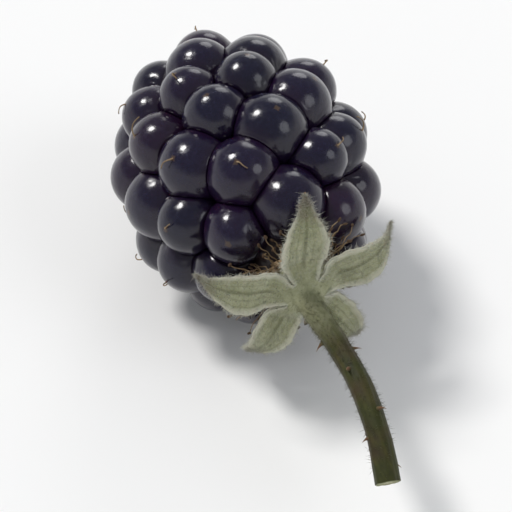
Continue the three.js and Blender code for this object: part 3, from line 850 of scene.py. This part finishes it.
def make_sepal(number, form, finish):
    at = sepal_surface(form, 70 + number)
    rng = np.random.default_rng(170 + number)
    rows = np.concatenate([np.linspace(0, 0.9, 44), np.linspace(0.9, 1.0, 10)[1:]])
    v = np.sin(np.linspace(-1, 1, ACROSS) * math.pi / 2)
    outer = at(rows[:, None], v[None, :], False)[0]
    inner = at(rows[:, None], v[None, ::-1][:, 1:-1], True)[0]
    rings = np.concatenate([outer, inner], 1)
    columns = rings.shape[1]
    points = rings.reshape(-1, 3)
    tip = rings[-1].mean(0) + (rings[-1].mean(0) - rings[-2].mean(0)) * 1.5
    foot = rings[0].mean(0) - (rings[1].mean(0) - rings[0].mean(0)) * 0.5
    points = np.vstack([points, foot, tip])
    faces = grid_faces(len(rows), columns)
    first = len(rows) * columns
    for k in range(columns):
        e = (k + 1) % columns
        faces.append((first, e, k))
        faces.append((first + 1, first - columns + k, first - columns + e))
    faces = [f[::-1] for f in faces]
    shape = Shape("along", "across", "inner", "hair")
    sides = np.concatenate([v, v[::-1][1:-1]])
    within = np.concatenate([np.zeros(ACROSS), np.ones(ACROSS - 2)])
    shape.add(points, faces, along=np.append(np.repeat(rows, columns), (0, 1)),
              across=np.append(np.tile(sides, len(rows)), (0, 0)),
              inner=np.append(np.tile(within, len(rows)), (0, 0)))

    def down(count, t, v, inside, length, spread, sideways):
        p, n, s, a = at(t, v, inside)
        aim = unit(n * spread[0] + s * (np.sign(v) * sideways)[:, None] + a * spread[1]
                   + 0.42 * rng.normal(size=(count, 3)))
        q, f = hairs(p - n * 0.02, aim, length, 0.0100, rng.normal(size=(count, 3)) * 0.7)
        shape.add(q, f, along=np.repeat(t, 7), across=np.repeat(v, 7), inner=float(inside), hair=1.0)

    c = 1500
    down(c, rng.random(c) ** 0.9, rng.uniform(-0.97, 0.97, c), False, 0.10 + 0.17 * rng.random(c), (0.8, 0.5),
         np.full(c, 0.1))
    c = 500
    down(c, rng.random(c), rng.uniform(-0.95, 0.95, c), True, 0.09 + 0.14 * rng.random(c), (0.8, 0.5),
         np.full(c, 0.1))
    c = 560
    down(c, rng.random(c) ** 0.85, np.where(rng.random(c) < 0.5, -0.985, 0.985), False,
         0.16 + 0.24 * rng.random(c) ** 1.5, (0.15, 0.35), np.full(c, 1.0))
    shape.points = [to_row(q @ turn_y(-form[0]).T) for q in shape.points]
    return make_piece(f"sepal_leaf_{number}", shape, finish, (f"sepal_{number}",))


def sepal_finish():
    f = Finish("felted_sepal")
    far, across, inner, hair = (f.value(n) for n in ("along", "across", "inner", "hair"))
    mottle = f.noise(1.6, 4, 0.6)
    felt = f.noise(9.0, 4, 0.65)
    wide = f.math("ABSOLUTE", across)
    back = f.colours(mottle, (0.25, (0.195, 0.206, 0.098)), (0.5, (0.280, 0.290, 0.156)),
                     (0.8, (0.400, 0.402, 0.256)))
    front = f.colours(mottle, (0.25, (0.360, 0.375, 0.240)), (0.8, (0.500, 0.505, 0.380)))
    skin = f.mix(inner, back, front)
    # Felted, pale along the margins, darker on the ribs, brown and dry at the tip.
    skin = f.mix(f.ramp(felt, (0.35, 0.0), (0.75, 0.45)), skin, (0.500, 0.500, 0.390))
    skin = f.mix(f.ramp(wide, (0.66, 0.0), (0.94, 0.80)), skin, (0.580, 0.570, 0.460))
    rib = f.ramp(wide, (0.0, 0.75), (0.06, 0.60), (0.13, 0.0), (0.30, 0.0), (0.36, 0.42), (0.42, 0.0),
                 (0.62, 0.0), (0.67, 0.32), (0.72, 0.0))
    rib = f.math("MULTIPLY", rib, f.ramp(far, (0.06, 0.0), (0.22, 1.0), (0.75, 0.8), (1.0, 0.2)))
    skin = f.mix(rib, skin, (0.110, 0.118, 0.046))
    patchy = f.math("ADD", far, f.math("MULTIPLY", f.math("SUBTRACT", mottle, 0.5), 0.5))
    skin = f.mix(f.ramp(patchy, (0.0, 0.0), (0.70, 0.0), (0.98, 0.85)), skin, (0.105, 0.075, 0.048))
    skin = f.mix(f.math("MULTIPLY", hair, 0.55), skin, (0.600, 0.590, 0.490))
    fibres = f.noise(26.0, 3, 0.65, warp=0.6)
    f.set(Base_Color=skin, Roughness=f.ramp(felt, (0.2, 0.78), (0.8, 0.96)), IOR=1.4,
          Specular_IOR_Level=0.25, Sheen_Weight=0.35, Sheen_Roughness=0.5,
          Subsurface_Weight=0.05, Subsurface_Scale=0.0005,
          Normal=f.bump(fibres, 0.6, 0.03, f.bump(felt, 0.7, 0.06)))
    return f.material


# ---- The wreath of withered stamens -------------------------------------------------------------------------
def distance_to(things, behind=1):
    """A function that gives how far the nearest of some points, in mm in the row frame, is from these
    pieces. With behind at -1 a point inside them counts as a negative distance."""
    points, faces = [], []
    for o in things:
        faces += [[len(points) + k for k in f.vertices] for f in o.data.polygons]
        points += [v.co / MM for v in o.data.vertices]
    tree = BVHTree.FromPolygons(points, faces)

    def least(places):
        found = [(Vector(p), tree.find_nearest(Vector(p))) for p in places]
        return min(away * (1 if (p - spot).dot(normal) > 0 else behind) for p, (spot, normal, _, away) in found)

    return least


def make_stamens(to_fruit, to_sepals):
    rng = np.random.default_rng(33)
    shape = Shape("along")
    a = np.arange(96) / 96 * 2 * math.pi
    b = np.arange(12) / 12 * 2 * math.pi
    lumps = 0.25 * (1 + 0.14 * np.sin(a[:, None] * 17 + b[None] * 1) + 0.10 * np.sin(a[:, None] * 29 - b[None] * 2))
    r = 2.05 + lumps * np.cos(b)[None]
    y = 0.66 + lumps * np.sin(b)[None] * 1.35
    ring = np.stack([r * np.cos(a)[:, None], y, r * np.sin(a)[:, None]], -1).reshape(-1, 3)
    faces = [(i * 12 + j, ((i + 1) % 96) * 12 + j, ((i + 1) % 96) * 12 + (j + 1) % 12, i * 12 + (j + 1) % 12)
             for i in range(96) for j in range(12)]
    shape.add(ring, [f[::-1] for f in faces], along=0.0)
    count = 108
    t = np.linspace(0, 1, 12)
    for k in range(count):
        turn = (k + rng.uniform(-0.4, 0.4)) / count * 2 * math.pi
        reach = rng.uniform(1.2, 2.7) if k % 2 else rng.uniform(0.45, 1.5)
        dip, end = rng.uniform(0.02, 0.32), rng.uniform(-0.75, 0.55) + 0.14 * max(reach - 1.2, 0)
        if k % 3 == 0:
            dip = rng.uniform(-0.30, 0.0)
        if k % 4 == 0:  # some stand up towards the fruit
            reach, end = rng.uniform(0.35, 1.5), rng.uniform(0.6, 2.0)
        elif k % 5 == 1:  # some hang back over the sepals
            reach, end = rng.uniform(0.9, 2.3), rng.uniform(-1.6, -0.6)
        lean, waves, phase = rng.normal() * 0.38, rng.uniform(1.5, 3.6), rng.uniform(0, 6.28)
        size = rng.uniform(0.03, 0.11)
        rise = end * t**2 - dip * np.sin(t * math.pi) + size * np.sin(t * waves * 6.28 + phase) * t
        sideways = lean * t**1.5 + size * 1.3 * np.cos(t * waves * 6.28 + phase) * t
        radii = rng.uniform(0.038, 0.054) * (1 - 0.35 * t)
        facing = unit(rng.normal(size=3) * (0.6, 0.35, 0.6) + (0.6, 0.25 * np.sign(end), 0))
        big, ends_in_anther = rng.uniform(0.65, 1.0), rng.random() < 0.8
        spin = turn_y(-math.degrees(turn)).T
        # It rises or hangs as far as the fruit and the sepals leave it room, and is shorter if it must be.
        for length, share in [(a, b) for a in (1, 0.75, 0.5, 0.3) for b in (1, 0.85, 0.7, 0.55, 0.4, 0.25, 0.1)]:
            path = np.stack([2.1 + reach * length * t, 0.64 + 0.10 * t + rise * share, sideways * length], -1)
            tip = path[-1] + facing * np.linspace(-0.13, 0.20, 7)[:, None]
            thread, knob = to_row(path @ spin), to_row(tip[1:] @ spin)
            if (to_fruit(thread) > 0.10 and to_sepals(thread[4:]) > 0.09
                    and to_fruit(knob) > 0.17 and to_sepals(knob) > 0.15):
                break
        else:
            continue
        p, f = tube(path, radii, 6)
        shape.add(p @ spin, f, along=np.append(np.repeat(t * 0.75, 6), (0, 0.75)))
        if ends_in_anther:  # shrunken
            p, f = tube(tip, np.array([0.03, 0.085, 0.112, 0.095, 0.105, 0.075, 0.02]) * big, 8)
            shape.add(p @ spin, f, along=1.0)
    shape.points = [to_row(q) for q in shape.points]
    return make_piece("stamen_wreath", shape, dry_finish("withered_stamen"), ("stamens",))


# ---- Build ------------------------------------------------------------------------------------------------------
berry, crowns = make_berry()
pieces = [berry, make_styles(crowns), make_pedicel()]
felt = sepal_finish()
pieces += [make_sepal(i + 1, form, felt) for i, form in enumerate(SEPAL_FORMS)]
pieces.append(make_stamens(distance_to(pieces[:1], behind=-1), distance_to(pieces[3:])))


# ---- Floor, light and camera -------------------------------------------------------------------------------------
def make_floor():
    mesh = bpy.data.meshes.new("floor")
    n, half = 24, 1.2
    xs = np.linspace(-half, half, n)
    points = [(x, y, 0.0) for y in xs for x in xs]
    faces = [(j * n + i, j * n + i + 1, (j + 1) * n + i + 1, (j + 1) * n + i) for j in range(n - 1) for i in range(n - 1)]
    mesh.from_pydata(points, [], faces)
    f = Finish("pale_floor")
    f.set(Base_Color=(0.868, 0.864, 0.857), Roughness=0.85, Specular_IOR_Level=0.15)
    mesh.materials.append(f.material)
    floor = bpy.data.objects.new("floor", mesh)
    bpy.context.scene.collection.objects.link(floor)


AZIMUTH, ELEVATION, LENS = -19.0, 45.0, 90.0
a, e = math.radians(AZIMUTH), math.radians(ELEVATION)
BACK = Vector((math.sin(a) * math.cos(e), -math.cos(a) * math.cos(e), math.sin(e)))
RIGHT = Vector((math.cos(a), math.sin(a), 0.0))
UP = BACK.cross(RIGHT)


def make_camera(margin):
    """The object fills the square picture but for the margin, and lies in its middle."""
    corners = np.vstack([np.array([v.co for v in p.data.vertices]) for p in pieces])
    camera = bpy.data.cameras.new("camera")
    camera.lens, camera.sensor_width = LENS, 36.0
    camera.clip_start, camera.clip_end = 0.01, 20.0
    eye = bpy.data.objects.new("camera", camera)
    bpy.context.scene.collection.objects.link(eye)
    fit = 18.0 / LENS * (1 - margin)
    axes = np.array([RIGHT, UP, BACK])
    p = corners @ axes.T
    centre = (p.min(0) + p.max(0)) / 2
    distance = 0.2
    for _ in range(12):
        depth = distance - (p[:, 2] - centre[2])
        x, y = (p[:, 0] - centre[0]) / depth, (p[:, 1] - centre[1]) / depth
        centre[0] += (x.max() + x.min()) / 2 * distance
        centre[1] += (y.max() + y.min()) / 2 * distance
        distance *= max(x.max() - x.min(), y.max() - y.min()) / 2 / fit
    eye.location = Vector(axes.T @ centre) + BACK * distance
    eye.rotation_mode = "QUATERNION"
    eye.rotation_quaternion = (-BACK).to_track_quat("-Z", "Y")
    bpy.context.scene.camera = eye


def make_light(name, direction, strength, spread, colour=(1, 1, 1)):
    """A broad soft source far off: spread is how wide it looks, in degrees."""
    lamp = bpy.data.lights.new(name, "SUN")
    lamp.energy, lamp.angle, lamp.color = strength, math.radians(spread), colour
    holder = bpy.data.objects.new(name, lamp)
    bpy.context.scene.collection.objects.link(holder)
    holder.rotation_mode = "QUATERNION"
    holder.rotation_quaternion = Vector(direction).normalized().to_track_quat("Z", "Y")


make_floor()
make_camera(0.10)
make_light("key", UP * 0.85 - RIGHT * 0.55 + BACK * 0.45, 2.15, 16, (1.0, 0.985, 0.965))
make_light("fill", RIGHT * 0.8 + BACK * 0.75 + UP * 0.2, 0.50, 30, (0.95, 0.97, 1.0))
make_light("back", Vector((0.5, 0.85, 0.55)), 0.40, 24)
world = bpy.data.worlds.new("studio")
bpy.context.scene.world = world
world.use_nodes = True
# Bright low down all round, like a pale wall that the floor runs up to, and dimmer overhead.
nodes, links = world.node_tree.nodes, world.node_tree.links
where, parts, ramp = (nodes.new(n) for n in ("ShaderNodeTexCoord", "ShaderNodeSeparateXYZ", "ShaderNodeValToRGB"))
links.new(where.outputs["Generated"], parts.inputs[0])
links.new(parts.outputs["Z"], ramp.inputs["Fac"])
links.new(ramp.outputs["Color"], nodes["Background"].inputs["Color"])
ramp.color_ramp.interpolation = "EASE"
ramp.color_ramp.elements[0].position, ramp.color_ramp.elements[0].color = 0.13, (0.955, 0.96, 0.96, 1.0)
ramp.color_ramp.elements[1].position, ramp.color_ramp.elements[1].color = 0.50, (0.335, 0.350, 0.372, 1.0)
bpy.context.scene.view_settings.view_transform = "Standard"
